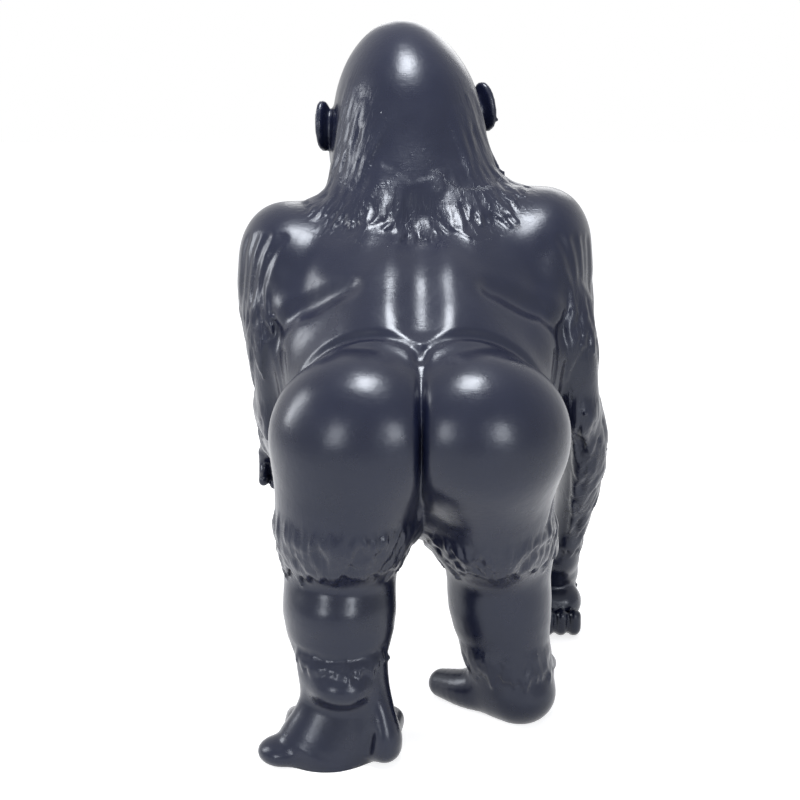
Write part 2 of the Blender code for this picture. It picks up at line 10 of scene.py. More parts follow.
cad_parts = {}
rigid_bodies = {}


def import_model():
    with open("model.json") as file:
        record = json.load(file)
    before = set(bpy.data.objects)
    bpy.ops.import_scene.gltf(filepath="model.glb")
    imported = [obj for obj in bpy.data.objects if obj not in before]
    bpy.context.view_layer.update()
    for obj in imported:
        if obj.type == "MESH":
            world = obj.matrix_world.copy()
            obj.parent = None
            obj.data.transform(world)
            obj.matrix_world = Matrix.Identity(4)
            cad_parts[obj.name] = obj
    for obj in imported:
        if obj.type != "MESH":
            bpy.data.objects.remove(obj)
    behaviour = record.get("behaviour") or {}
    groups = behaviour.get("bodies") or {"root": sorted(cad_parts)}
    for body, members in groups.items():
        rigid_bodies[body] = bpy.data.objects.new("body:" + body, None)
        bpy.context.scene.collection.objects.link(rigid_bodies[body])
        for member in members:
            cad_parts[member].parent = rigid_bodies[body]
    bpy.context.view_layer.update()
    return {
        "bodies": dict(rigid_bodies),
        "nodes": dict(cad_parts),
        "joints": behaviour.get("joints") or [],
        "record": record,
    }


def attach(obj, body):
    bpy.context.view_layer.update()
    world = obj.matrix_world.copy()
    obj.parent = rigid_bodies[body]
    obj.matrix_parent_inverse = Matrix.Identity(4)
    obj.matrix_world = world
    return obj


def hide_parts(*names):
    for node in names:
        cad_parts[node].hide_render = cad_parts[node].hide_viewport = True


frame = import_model()

# The figure is worked out in its own space and moved by this much to the CAD's
ORIGIN = Vector((-0.01913443, -0.466013, 0))

# The grid: its pitch, its box, the distance far off, and how far a soft blend and a blur carry
CELL = 0.0042
BLOCK_LOW = (-0.46, -0.10, -0.06)
BLOCK_HIGH = (0.48, 1.06, 1.42)
FAR = 0.5
REACH = 0.085
FLOW = 0.007
SMOOTH_ROUNDS = 3
TRIANGLES = 190000

RIGHT_SHOULDER_OUT = 0.251
LEFT_SHOULDER_OUT = 0.265
RIGHT_SHOULDER_HEIGHT = 0.896
LEFT_SHOULDER_HEIGHT = 0.865
CHEST_HALF_WIDTH = 0.272
BELLY_HALF_WIDTH = 0.262
PELVIS_HALF_WIDTH = 0.225
BUTTOCK_OUT = 0.106
BUTTOCK_RADIUS = 0.145
BUTTOCK_HALF_WIDTH = 0.170
SKULL_HALF_WIDTH = 0.144
CREST_HEIGHT = 0.221
EAR_OUT = 0.173
EAR_HALF_HEIGHT = 0.050
EAR_TURN = 32
BROW_GIRTH = 0.025
MUZZLE_HALF_WIDTH = 0.088
NECK_HALF_WIDTH = 0.168
UPPER_ARM_HALF_DEPTH = 0.114
FOREARM_HALF_DEPTH = 0.095
WRIST_HALF_WIDTH = 0.039
FINGER_GIRTH = 0.0165
THIGH_HALF_WIDTH = 0.131
CALF_HALF_WIDTH = 0.102
TOE_GIRTH = 0.022
LOCK_WIDTH = 0.024
LOCK_DEPTH = 0.011

DARK_PAINT = (0.0028, 0.0040, 0.0135, 1)
LIGHT_PAINT = (0.0058, 0.0076, 0.0225, 1)
SMOOTHEST = 0.25
DULLEST = 0.34

# How bright the floor looks by itself, and how strong the room's light is behind and before the figure
FLOOR_GLOW = 0.72
ROOM_FRONT = 0.30
ROOM_BACK = 0.7

# Soft boxes: name, place, width and height, watts; all face one point
BOXES = [
    ("right_box", (1.5, -3.0, 1.3), (0.7, 1.1), 36),
    ("left_box", (-1.7, -3.0, 1.4), (0.7, 1.1), 30),
    ("far_left_box", (-3.0, 0.2, 1.8), (0.8, 1.6), 50),
    ("top_box", (-0.10, -0.60, 3.3), (0.8, 0.9), 92),
    ("back_box", (0.5, 3.2, 2.4), (2.4, 1.4), 25),
]
BOXES_FACE = (0, 0, 0.8)

CAMERA_AT = Vector((-0.0376, -2.3456, 1.35))
CAMERA_TILT = 75
CAMERA_LENS = 63

CORNERS = [(i, j, k) for i in (0, 1) for j in (0, 1) for k in (0, 1)]


# Clay: a grid of distances, and the shapes that are joined and carved in it


class Clay:
    """A block of grid points, each with its distance to the surface."""

    def __init__(self, cell):
        self.cell = cell
        self.low = np.array(BLOCK_LOW)
        counts = np.ceil((np.array(BLOCK_HIGH) - self.low) / cell).astype(int) + 1
        self.field = np.full(counts, FAR, np.float32)

    def window(self, low, high):
        """The grid points in a box: their slices and their open coordinates."""
        first = np.floor((np.array(low) - self.low) / self.cell).astype(int)
        last = np.ceil((np.array(high) - self.low) / self.cell).astype(int) + 1
        first = np.clip(first, 0, self.field.shape)
        last = np.clip(last, 0, self.field.shape)
        slices = tuple(slice(a, b) for a, b in zip(first, last))
        axes = []
        for k in range(3):
            column = self.low[k] + self.cell * np.arange(first[k], last[k])
            shape = [1, 1, 1]
            shape[k] = -1
            axes.append(column.astype(np.float32).reshape(shape))
        return slices, axes

    def join(self, slices, distance, blend):
        old = self.field[slices]
        share = np.maximum(blend - np.abs(old - distance), 0) / blend
        self.field[slices] = np.minimum(old, distance) - share * share * (blend / 4)

    def carve(self, slices, distance, blend):
        old = self.field[slices]
        share = np.maximum(blend - np.abs(old + distance), 0) / blend
        self.field[slices] = np.maximum(old, -distance) + share * share * (blend / 4)

    def soften(self, radius):
        """Blur the distances, so that the masses flow into each other."""
        for _ in range(max(1, round(2 * (radius / self.cell) ** 2))):
            for axis in range(3):
                inner = np.moveaxis(self.field, axis, 0)
                inner[1:-1] = (inner[:-2] + 2 * inner[1:-1] + inner[2:]) / 4

    def fill_pinches(self):
        """Fill each cell in which two folds of the surface would touch."""
        pinched = pinch_table()
        shape = np.array(self.field.shape) - 1
        while True:
            inside = self.field < 0
            code = np.zeros(shape, np.uint8)
            for n, (i, j, k) in enumerate(CORNERS):
                corner = inside[i : i + shape[0], j : j + shape[1], k : k + shape[2]]
                code |= corner.astype(np.uint8) << n
            cells = np.argwhere(pinched[code])
            if not len(cells):
                return
            for i, j, k in CORNERS:
                place = (cells[:, 0] + i, cells[:, 1] + j, cells[:, 2] + k)
                self.field[place] = np.minimum(self.field[place], -0.1 * self.cell)

    def sample(self, point):
        """The distance at any point, between the grid points."""
        place = (np.array(point) - self.low) / self.cell
        corner = np.clip(np.floor(place).astype(int), 0, np.array(self.field.shape) - 2)
        part = np.clip(place - corner, 0, 1)
        i, j, k = corner
        cube = self.field[i : i + 2, j : j + 2, k : k + 2]
        cube = cube[0] * (1 - part[0]) + cube[1] * part[0]
        cube = cube[0] * (1 - part[1]) + cube[1] * part[1]
        return float(cube[0] * (1 - part[2]) + cube[1] * part[2])

    def slope(self, point):
        """The direction that leads away from the surface at a point."""
        step = 1.2 * self.cell
        found = []
        for k in range(3):
            ahead, behind = Vector(point), Vector(point)
            ahead[k] += step
            behind[k] -= step
            found.append(self.sample(ahead) - self.sample(behind))
        return Vector(found).normalized()

    def snap(self, point, height=0.0):
        """The nearest place on the skin, lifted off it by a height."""
        place = Vector(point)
        for _ in range(5):
            place = place - self.slope(place) * (0.9 * self.sample(place))
        return place + self.slope(place) * height


def pinch_table():
    """For each pattern of a cell's corners, whether its surface would touch itself."""
    table = np.zeros(256, bool)
    for pattern in range(256):
        solid = {c for n, c in enumerate(CORNERS) if pattern >> n & 1}
        for group in (solid, set(CORNERS) - solid):
            if group:
                reached = {min(group)}
                while True:
                    wider = {c for c in group if any(sum(map(abs, np.subtract(c, r))) <= 1 for r in reached)}
                    if wider == reached:
                        break
                    reached = wider
                table[pattern] |= reached != group
        for axis in range(3):
            for level in (0, 1):
                square = [c for c in CORNERS if c[axis] == level]
                held = [c in solid for c in square]
                table[pattern] |= held[0] == held[3] and held[1] == held[2] and held[0] != held[1]
    return table


def oval(axes, centre, frame, radii):
    """Distance to an ellipsoid; the columns of frame are its axes."""
    offsets = [axes[k] - centre[k] for k in range(3)]
    near = 0
    steep = 0
    for k in range(3):
        along = offsets[0] * frame[0][k] + offsets[1] * frame[1][k] + offsets[2] * frame[2][k]
        scaled = along / radii[k]
        near = near + scaled * scaled
        steep = steep + (scaled / radii[k]) ** 2
    near = np.sqrt(near)
    return near * (near - 1) / np.maximum(np.sqrt(steep), 1e-4) - (near < 1e-3) * min(radii)


def turned(angles):
    return Euler([math.radians(a) for a in angles]).to_matrix()


def ball(clay, centre, radii, turn=(0, 0, 0), blend=0.05, cut=False, place=None):
    """Join an ellipsoid, or cut it out; place carries it as a whole."""
    frame = turned(turn)
    centre = Vector(centre)
    if place is not None:
        centre = place @ centre
        frame = place.to_3x3() @ frame
    reach = REACH if blend > 0.02 else blend + 0.02
    size = [math.sqrt(sum((frame[k][n] * radii[n]) ** 2 for n in range(3))) + reach for k in range(3)]
    low = [centre[k] - size[k] for k in range(3)]
    high = [centre[k] + size[k] for k in range(3)]
    slices, axes = clay.window(low, high)
    distance = oval(axes, centre, frame, radii).astype(np.float32)
    (clay.carve if cut else clay.join)(slices, distance, blend)


def smooth_path(stations, steps):
    """Catmull-Rom rows through the stations; each is a tuple of numbers."""
    rows = np.array(stations, float)
    rows = np.vstack([2 * rows[0] - rows[1], rows, 2 * rows[-1] - rows[-2]])
    found = []
    for i in range(1, len(rows) - 2):
        p0, p1, p2, p3 = rows[i - 1 : i + 3]
        for k in range(steps):
            t = k / steps
            curve = 2 * p1 + (p2 - p0) * t
            curve = curve + (2 * p0 - 5 * p1 + 4 * p2 - p3) * t**2
            curve = curve + (3 * p1 - p0 - 3 * p2 + p3) * t**3
            found.append(curve / 2)
    found.append(rows[-2])
    return np.array(found)


def limb(clay, stations, side=(1, 0, 0), blend=0.04, steps=4, cut=False, place=None):
    """Join or cut a tube through stations of (x, y, z, half width, half depth).

    The width lies along side, and the depth square to it and to the path.
    """
    if place is not None:
        stations = [(*(place @ Vector(s[:3])), *s[3:]) for s in stations]
        side = place.to_3x3() @ Vector(side)
    path = smooth_path(stations, steps)
    widest = float(path[:, 3:].max())
    reach = widest + (REACH if blend > 0.02 else blend + 0.02)
    slices, axes = clay.window(path[:, :3].min(axis=0) - reach, path[:, :3].max(axis=0) + reach)
    whole = np.full([s.stop - s.start for s in slices], FAR, np.float32)
    for start, end in zip(path, path[1:]):
        low = np.minimum(start[:3], end[:3]) - reach
        high = np.maximum(start[:3], end[:3]) + reach
        own, near = clay.window(low, high)
        inner = tuple(slice(a.start - b.start, a.stop - b.start) for a, b in zip(own, slices))
        line = Vector(end[:3] - start[:3])
        length = max(line.length, 1e-6)
        tangent = line / length
        across = (Vector(side) - tangent * Vector(side).dot(tangent)).normalized()
        deep = tangent.cross(across)
        offsets = [near[k] - start[k] for k in range(3)]
        along, wide, thick = (
            offsets[0] * d[0] + offsets[1] * d[1] + offsets[2] * d[2] for d in (tangent, across, deep)
        )
        share = np.clip(along / length, 0, 1)
        beyond = along - share * length
        half_width = start[3] + share * (end[3] - start[3])
        half_depth = start[4] + share * (end[4] - start[4])
        half_end = np.minimum(half_width, half_depth)
        parts = (wide / half_width, thick / half_depth, beyond / half_end)
        size = np.sqrt(parts[0] ** 2 + parts[1] ** 2 + parts[2] ** 2)
        steep = (parts[0] / half_width) ** 2 + (parts[1] / half_depth) ** 2 + (parts[2] / half_end) ** 2
        steep = np.sqrt(steep)
        distance = size * (size - 1) / np.maximum(steep, 1e-4) - (size < 1e-3) * half_end
        whole[inner] = np.minimum(whole[inner], distance)
    (clay.carve if cut else clay.join)(slices, whole, blend)


def take_skin(name, clay):
    """The surface of the clay as one closed mesh: a point for each cell it crosses."""
    clay.fill_pinches()
    field = clay.field
    inside = field < 0
    count = np.zeros(np.array(field.shape) - 1, np.uint8)
    shape = count.shape
    for i, j, k in CORNERS:
        count += inside[i : i + shape[0], j : j + shape[1], k : k + shape[2]]
    cells = np.argwhere((count > 0) & (count < 8))
    number = np.full(shape, -1, np.int32)
    number[tuple(cells.T)] = np.arange(len(cells))
    values = {c: field[cells[:, 0] + c[0], cells[:, 1] + c[1], cells[:, 2] + c[2]] for c in CORNERS}
    total = np.zeros((len(cells), 3))
    hits = np.zeros(len(cells))
    for a in CORNERS:
        for axis in range(3):
            if a[axis]:
                continue
            b = tuple(1 if k == axis else a[k] for k in range(3))
            first, second = values[a], values[b]
            crossed = (first < 0) != (second < 0)
            share = np.where(crossed, first / np.where(crossed, first - second, 1), 0)
            for k in range(3):
                total[:, k] += crossed * (a[k] + (share if k == axis else 0))
            hits += crossed
    points = clay.low + clay.cell * (cells + total / hits[:, None])
    quads = []
    for axis in range(3):
        low = [slice(0, -1) if k == axis else slice(1, -1) for k in range(3)]
        high = [slice(1, None) if k == axis else slice(1, -1) for k in range(3)]
        first, second = inside[tuple(low)], inside[tuple(high)]
        u, v = (axis + 1) % 3, (axis + 2) % 3
        for leaving in (True, False):
            found = np.argwhere((first & ~second) if leaving else (~first & second))
            base = found.copy()
            for k in range(3):
                if k != axis:
                    base[:, k] += 1
            ring = []
            for du, dv in ((1, 1), (0, 1), (0, 0), (1, 0)) if leaving else ((1, 1), (1, 0), (0, 0), (0, 1)):
                cell = base.copy()
                cell[:, u] -= du
                cell[:, v] -= dv
                ring.append(number[tuple(cell.T)])
            quads.append(np.stack(ring, axis=1))
    quads = np.vstack(quads)
    mesh = bpy.data.meshes.new(name)
    mesh.vertices.add(len(points))
    mesh.vertices.foreach_set("co", points.ravel())
    mesh.loops.add(quads.size)
    mesh.loops.foreach_set("vertex_index", quads.ravel())
    mesh.polygons.add(len(quads))
    mesh.polygons.foreach_set("loop_start", np.arange(0, quads.size, 4))
    mesh.update(calc_edges=True)
    obj = bpy.data.objects.new(name, mesh)
    bpy.context.scene.collection.objects.link(obj)
    return obj


def largest_piece(obj):
    """Drop crumbs that came off the skin, such as the tip of a lock."""
    count = len(obj.data.vertices)
    edges = np.empty(len(obj.data.edges) * 2, int)
    obj.data.edges.foreach_get("vertices", edges)
    first, second = edges.reshape(-1, 2).T
    label = np.arange(count)
    while True:
        lower = label.copy()
        np.minimum.at(lower, first, label[second])
        np.minimum.at(lower, second, label[first])
        lower = lower[lower]
        if (lower == label).all():
            break
        label = lower
    kept = np.bincount(label).argmax()
    if (label == kept).all():
        return
    skin = bmesh.new()
    skin.from_mesh(obj.data)
    crumbs = [v for v in skin.verts if label[v.index] != kept]
    bmesh.ops.delete(skin, geom=crumbs, context="VERTS")
    skin.to_mesh(obj.data)
    skin.free()


def bake(obj):
    """Replace the object's mesh by what its modifiers make of it."""
    graph = bpy.context.evaluated_depsgraph_get()
    baked = bpy.data.meshes.new_from_object(obj.evaluated_get(graph))
    obj.modifiers.clear()
    obj.data = baked


def thin_out(obj, triangles):
    obj.data.calc_loop_triangles()
    decimate = obj.modifiers.new("fewer_facets", "DECIMATE")
    decimate.ratio = min(1, triangles / len(obj.data.loop_triangles))
    decimate.use_collapse_triangulate = True
    bake(obj)


def stand_flat(obj):
    """Cut the soles and the knuckles level with the ground."""
    slab = bmesh.new()
    size = Matrix.Diagonal((2, 3, 0.2, 1))
    bmesh.ops.create_cube(slab, size=1, matrix=Matrix.Translation((0, 0.5, -0.1)) @ size)
    ground = bpy.data.objects.new("ground_cutter", bpy.data.meshes.new("ground_cutter"))
    slab.to_mesh(ground.data)
    slab.free()
    bpy.context.scene.collection.objects.link(ground)
    cut = obj.modifiers.new("level_soles", "BOOLEAN")
    cut.operation = "DIFFERENCE"
    cut.object = ground
    bake(obj)
    bpy.data.objects.remove(ground, do_unlink=True)


def even_out(mesh, rounds):
    """Take the grid's roughness out of a skin: move points toward their neighbours."""
    points = np.empty(len(mesh.vertices) * 3)
    mesh.vertices.foreach_get("co", points)
    points = points.reshape(-1, 3)
    edges = np.empty(len(mesh.edges) * 2, int)
    mesh.edges.foreach_get("vertices", edges)
    first, second = edges.reshape(-1, 2).T
    degree = np.bincount(edges, minlength=len(points))[:, None]
    for k in range(2 * rounds):
        total = np.zeros_like(points)
        for axis in range(3):
            column = points[:, axis]
            total[:, axis] = np.bincount(first, column[second], len(total))
            total[:, axis] += np.bincount(second, column[first], len(total))
        points += (0.5, -0.52)[k % 2] * (total / degree - points)
    mesh.vertices.foreach_set("co", points.ravel())
    mesh.update()


# Fur: clumps of strands laid on the skin


def along_run(run, rows, at):
    """The row at a distance along a path, between the rows that are given."""
    return Vector([float(np.interp(at, run, rows[:, k])) for k in range(3)])


class Coat:
    """Strands of fur, each placed on the bare skin before any is joined."""

    def __init__(self, clay, seed):
        self.clay = clay
        self.chance = random.Random(seed)
        self.strands = []
        self.lines = []

    def strand(self, root, tip, width, depth, lift):
        """One strand: it lies on the skin, swells and runs out to a point."""
        root, tip = Vector(root), Vector(tip)
        start = self.clay.snap(root, -0.5 * depth)
        middle = self.clay.snap(root.lerp(tip, 0.5), 0.10 * depth)
        end = self.clay.snap(tip, lift)
        normal = self.clay.slope(middle)
        side = (end - start).normalized().cross(normal)
        stations = [
            (*start, 0.42 * width, 0.40 * depth),
            (*middle, 0.50 * width, 0.55 * depth),
            (*end, 0.14 * width, 0.22 * depth),
        ]
        self.strands.append((stations, side))

    def clump(self, root, tip, across, width, depth):
        """Three strands that run together to one point."""
        lift = depth * self.chance.uniform(0.1, 0.5)
        for offset in (-0.5, 0, 0.5):
            start = root + across * (offset * 0.9 * width) + (root - tip) * self.chance.uniform(-0.05, 0.15)
            end = tip + across * (offset * 0.34 * width) + (root - tip) * (0.22 * abs(offset) * 2)
            thick = width / 3 * self.chance.uniform(1.0, 1.35)
            self.strand(start, end, thick, depth * self.chance.uniform(0.8, 1.1), lift)

    def fringe(self, line, fall, length, rows=2, width=LOCK_WIDTH, depth=LOCK_DEPTH, wild=0.22, combed=True):
        """Rows of clumps along a line of points near the skin, falling one way."""
        path = smooth_path(line, 8)
        run = np.concatenate([[0], np.cumsum(np.linalg.norm(np.diff(path, axis=0), axis=1))])
        falls = smooth_path(fall if isinstance(fall, list) else [fall] * len(line), 8)
        falls /= np.linalg.norm(falls, axis=1)[:, None]
        if combed:
            self.lines.append((path, run, falls, length, rows))
        number = max(2, round(run[-1] / (0.85 * width)))
        for row in reversed(range(rows)):
            for n in range(number):
                share = n + 0.5 * (row % 2) + 0.5 + self.chance.uniform(-0.25, 0.25)
                at = min(share / (number + 0.5), 1) * run[-1]
                here, before, after = (along_run(run, path, at + step) for step in (0, -0.01, 0.01))
                across = (after - before).normalized()
                fall = along_run(run, falls, at)
                drift = Vector([self.chance.uniform(-wild, wild) for _ in range(3)])
                reach = length * self.chance.uniform(0.7, 1.3)
                root = here - fall * (row * 0.5 * length)
                tip = root + (fall + drift).normalized() * reach
                self.clump(root, tip, across, width * self.chance.uniform(0.8, 1.25), depth)

    def lay(self, blend=0.006):
        for stations, side in self.strands:
            limb(self.clay, stations, side=side, blend=blend, steps=2)

    def comb(self, mesh):
        """Give each point of the skin its place across and along the strands.

        The third number is how much the strands show there.
        """
        points = np.empty(len(mesh.vertices) * 3)
        mesh.vertices.foreach_get("co", points)
        points = points.reshape(-1, 3)
        shown = np.zeros(len(points))
        found = np.zeros((len(points), 3))
        for path, run, falls, length, rows in self.lines:
            above = 0.5 * length * rows + 0.05
            near = (points > path.min(axis=0) - above - length).all(axis=1)
            near &= (points < path.max(axis=0) + above + length).all(axis=1)
            near = np.flatnonzero(near)
            least = np.full(len(near), 1e9)
            place = np.zeros((len(near), 3))
            for spot, across, fall in zip(path, run, falls):
                offset = points[near] - spot
                along = offset @ fall
                aside = np.linalg.norm(offset - along[:, None] * fall, axis=1)
                closer = aside < least
                least[closer] = aside[closer]
                place[closer, 0] = across
                place[closer, 1] = along[closer]
            along = place[:, 1]
            show = np.clip((above + along) / above, 0, 1) ** 1.5
            show = show * np.clip((1.15 * length - along) / 0.02, 0, 1)
            show *= np.clip((0.080 - least) / 0.050, 0, 1)
            place[:, 2] = show
            better = show > shown[near]
            found[near[better]] = place[better]
            shown[near[better]] = show[better]
        strands = mesh.attributes.new("strands", "FLOAT_VECTOR", "POINT")
        strands.data.foreach_set("vector", found.ravel())


def around(centre, radii, first, last, count=7):
    """Points on an arc of a level oval, by angles in degrees; 0 is +X, 90 is +Y."""
    found = []
    for n in range(count):
        angle = math.radians(first + (last - first) * n / (count - 1))
        across, along = radii[0] * math.cos(angle), radii[1] * math.sin(angle)
        found.append((centre[0] + across, centre[1] + along, centre[2]))
    return found


def groove(clay, line, width, depth, blend=0.012, place=None):
    """A crease carved along a line of points near the skin."""
    if place is not None:
        line = [place @ Vector(p) for p in line]
    path = smooth_path(line, 4)
    stations = []
    for n, point in enumerate(path):
        share = math.sin(math.pi * (n + 0.5) / len(path))
        spot = clay.snap(point, 0.6 * width - depth * share)
        stations.append((*spot, 0.5 * width, 0.5 * width))
    limb(clay, stations, blend=blend, steps=1, cut=True)


# The figure


def torso(clay):
    ball(clay, (0, 0.430, 0.724), (CHEST_HALF_WIDTH, 0.268, 0.232), (27, 0, 0), blend=0.06)
    ball(clay, (0, 0.350, 0.590), (BELLY_HALF_WIDTH, 0.252, 0.232), (12, 0, 0), blend=0.08)
    ball(clay, (0, 0.240, 0.640), (PELVIS_HALF_WIDTH, 0.180, 0.165), blend=0.08)
    ball(clay, (0, 0.628, 0.810), (0.207, 0.104, 0.150), (-18, 0, 0), blend=0.08)
    for side, drop in ((1, 0.015), (-1, 0.035)):
        ball(clay, (side * 0.161, 0.503, 0.918 - drop), (0.146, 0.140, 0.099), (22, side * 8, 0), blend=0.06)
        ball(clay, (side * 0.108, 0.410, 0.866), (0.108, 0.125, 0.060), (36, 0, side * -18), blend=0.025)
        blade = [(0.095, 0.345, 0.872), (0.150, 0.340, 0.850), (0.215, 0.385, 0.830)]
        limb(clay, [(side * x, y, z - drop, 0.022, 0.022) for x, y, z in blade], blend=0.035)
        ridge = [(0.082, 0.462, 0.972), (0.096, 0.404, 0.922), (0.120, 0.366, 0.870)]
        limb(clay, [(side * x, y, z, 0.036, 0.034) for x, y, z in ridge], blend=0.03)
        ball(clay, (side * 0.100, 0.318, 0.822), (0.062, 0.046, 0.030), (20, 0, side * -10), blend=0.03)
        flank = [
            (side * 0.254, 0.524, 0.832, 0.048, 0.110),
            (side * 0.253, 0.436, 0.750, 0.048, 0.105),
            (side * 0.213, 0.352, 0.704, 0.048, 0.086),
        ]
        limb(clay, flank, blend=0.06)
        erector = [(0.044, 0.400, 0.876), (0.050, 0.330, 0.838), (0.060, 0.260, 0.798)]
        limb(clay, [(side * x, y, z - 0.004, 0.044, 0.028) for x, y, z in erector], blend=0.07)
        ball(clay, (side * 0.104, 0.668, 0.806), (0.120, 0.058, 0.084), (-22, 0, side * -16), blend=0.03)
        buttock = (BUTTOCK_HALF_WIDTH, BUTTOCK_RADIUS, 0.152)
        ball(clay, (side * BUTTOCK_OUT, 0.125, 0.626), buttock, (-8, 0, side * 8), blend=0.016)


def cowl(clay):
    """The neck and the nape: one mass from the shoulders to the head."""
    neck = [
        (-0.004, 0.550, 0.903, 0.196, 0.142),
        (-0.008, 0.590, 0.981, NECK_HALF_WIDTH + 0.020, 0.156),
        (-0.016, 0.634, 1.059, NECK_HALF_WIDTH, 0.161),
        (-0.024, 0.678, 1.127, 0.151, 0.154),
    ]
    limb(clay, neck, blend=0.05)
    for side, drop in ((1, 0.018), (-1, 0.045)):
        ball(clay, (side * 0.158, 0.562, 0.986 - drop), (0.119, 0.104, 0.062), (0, side * 24, 0), blend=0.05)


# The head's own frame, in which it looks along +Y
HEAD = Matrix.Translation((-0.028, 0.738, 1.134)) @ turned((0, -6, 10)).to_4x4()
LIPS = [
    (-0.074, 0.118, -0.116),
    (-0.044, 0.186, -0.106),
    (0, 0.212, -0.102),
    (0.044, 0.186, -0.106),
    (0.074, 0.118, -0.116),
]


def skull(clay):
    """The head's big masses, in the head's own frame: it looks along +Y."""

    def mass(centre, radii, turn=(0, 0, 0), blend=0.04):
        ball(clay, centre, radii, turn, blend, False, HEAD)

    mass((0, -0.040, 0.060), (SKULL_HALF_WIDTH, 0.160, 0.148))
    mass((0, -0.034, CREST_HEIGHT - 0.104), (0.084, 0.118, 0.104), (-6, 0, 0), blend=0.05)
    mass((0, -0.100, 0.010), (0.130, 0.122, 0.150), (12, 0, 0), blend=0.05)
    mass((0, 0.070, 0.000), (0.108, 0.085, 0.095), blend=0.05)
    for side in (-1, 1):
        mass((side * 0.088, 0.026, -0.050), (0.076, 0.092, 0.108), (0, 0, side * 10), blend=0.05)


def face(clay):
    def mass(centre, radii, turn=(0, 0, 0), blend=0.03, cut=False):
        ball(clay, centre, radii, turn, blend, cut, HEAD)

    def bar(stations, side=(1, 0, 0), blend=0.02, cut=False):
        limb(clay, stations, side, blend, 4, cut, HEAD)

    mass((0, 0.118, -0.086), (MUZZLE_HALF_WIDTH, 0.090, 0.056), blend=0.04)
    mass((0, 0.092, -0.136), (0.078, 0.080, 0.046), blend=0.035)
    brow = [
        (-0.108, 0.076, 0.032),
        (-0.062, 0.138, 0.058),
        (-0.022, 0.157, 0.050),
        (0.022, 0.157, 0.050),
        (0.062, 0.138, 0.058),
        (0.108, 0.076, 0.032),
    ]
    bar([(*p, BROW_GIRTH, BROW_GIRTH * 1.05) for p in brow], side=(0, 1, 0), blend=0.026)
    bar([(0, 0.128, 0.035, 0.022, 0.020), (0, 0.150, -0.002, 0.026, 0.020), (0, 0.178, -0.032, 0.032, 0.022)])
    mass((0, 0.192, -0.036), (0.024, 0.022, 0.019), blend=0.012)
    for side in (-1, 1):
        mass((side * 0.043, 0.154, 0.012), (0.031, 0.034, 0.021), blend=0.016, cut=True)
        mass((side * 0.042, 0.122, 0.012), (0.0185, 0.0185, 0.0175), blend=0.004)
        lids = ((0.0110, 0.0062, 0.0050), (-0.0100, 0.0040, 0.0044))
        for rise, bow, girth in lids:
            arc = [(-0.020, 0.130, 0.012), (0, 0.1385, 0.012 + rise), (0.020, 0.126, 0.012)]
            lid = [(side * (0.042 + x), y, z + bow * (x == 0), girth, girth) for x, y, z in arc]
            bar(lid, (0, 1, 0), 0.005)
        mass((side * 0.082, 0.086, -0.012), (0.034, 0.040, 0.030), blend=0.03)
        mass((side * 0.032, 0.182, -0.042), (0.030, 0.025, 0.021), (0, 0, side * -20), blend=0.014)
        nostril = (side * 0.026, 0.210, -0.047)
        mass(nostril, (0.0130, 0.0125, 0.0085), (0, side * 20, 0), blend=0.006, cut=True)
        fold = [(side * 0.050, 0.166, -0.014), (side * 0.072, 0.154, -0.046), (side * 0.086, 0.122, -0.096)]
        bar([(*p, 0.005, 0.005) for p in fold], blend=0.014, cut=True)
        bag = [(side * 0.022, 0.146, -0.010), (side * 0.044, 0.147, -0.014), (side * 0.066, 0.130, -0.006)]
        groove(clay, bag, 0.007, 0.0025, 0.008, place=HEAD)
        root = (0.024, 0.026, EAR_HALF_HEIGHT - 0.014)
        mass((side * (EAR_OUT - 0.024), -0.010, 0.018), root, (0, 0, side * 20), blend=0.016)
        ear = Vector((side * (EAR_OUT + 0.001), -0.020, 0.026))
        turn = turned((0, side * -4, side * EAR_TURN))
        mass(ear, (0.0095, 0.027, EAR_HALF_HEIGHT), (0, side * -4, side * EAR_TURN), blend=0.010)
        cup = ear + turn @ Vector((side * 0.010, 0.004, 0.002))
        mass(cup, (0.010, 0.018, EAR_HALF_HEIGHT - 0.020), (0, side * -4, side * EAR_TURN), 0.005, True)
        rim = []
        for angle in (30, 70, 110, 150, 190, 230, 270):
            across, up = math.cos(math.radians(angle)), math.sin(math.radians(angle))
            spot = ear + turn @ Vector((side * 0.004, 0.025 * across, (EAR_HALF_HEIGHT - 0.003) * up))
            rim.append((*spot, 0.0068, 0.0068))
        bar(rim, blend=0.006)
        mass(ear + turn @ Vector((side * 0.006, 0.026, -0.006)), (0.008, 0.009, 0.011), blend=0.006)
    for rise, girth in ((0.015, 0.0135), (-0.015, 0.0130)):
        bar([(x * 0.94, y - 0.010, z + rise, girth, girth) for x, y, z in LIPS], side=(0, 1, 0), blend=0.02)
    slit = []
    for x, y, z in LIPS:
        aside = abs(x)
        slit.append((x * 0.88, y + 0.003 - 0.10 * aside, z, 0.0065 - 0.05 * aside, 0.0040 - 0.02 * aside))
    bar(slit, side=(0, 1, 0), blend=0.005, cut=True)


def leg(clay, hip, thigh, knee, calf, ankle):
    """A hind leg through stations of (x, y, z, half width, half depth)."""
    limb(clay, [hip, thigh, knee], blend=0.05)
    limb(clay, [(*knee[:3], knee[3] * 0.84, knee[4] * 0.84), calf, ankle], blend=0.02)
    kneecap = Vector(knee[:3]) + Vector((0, 0.62 * knee[4], 0.004))
    ball(clay, kneecap, (0.055, 0.045, 0.058), (14, 0, 0), blend=0.03)


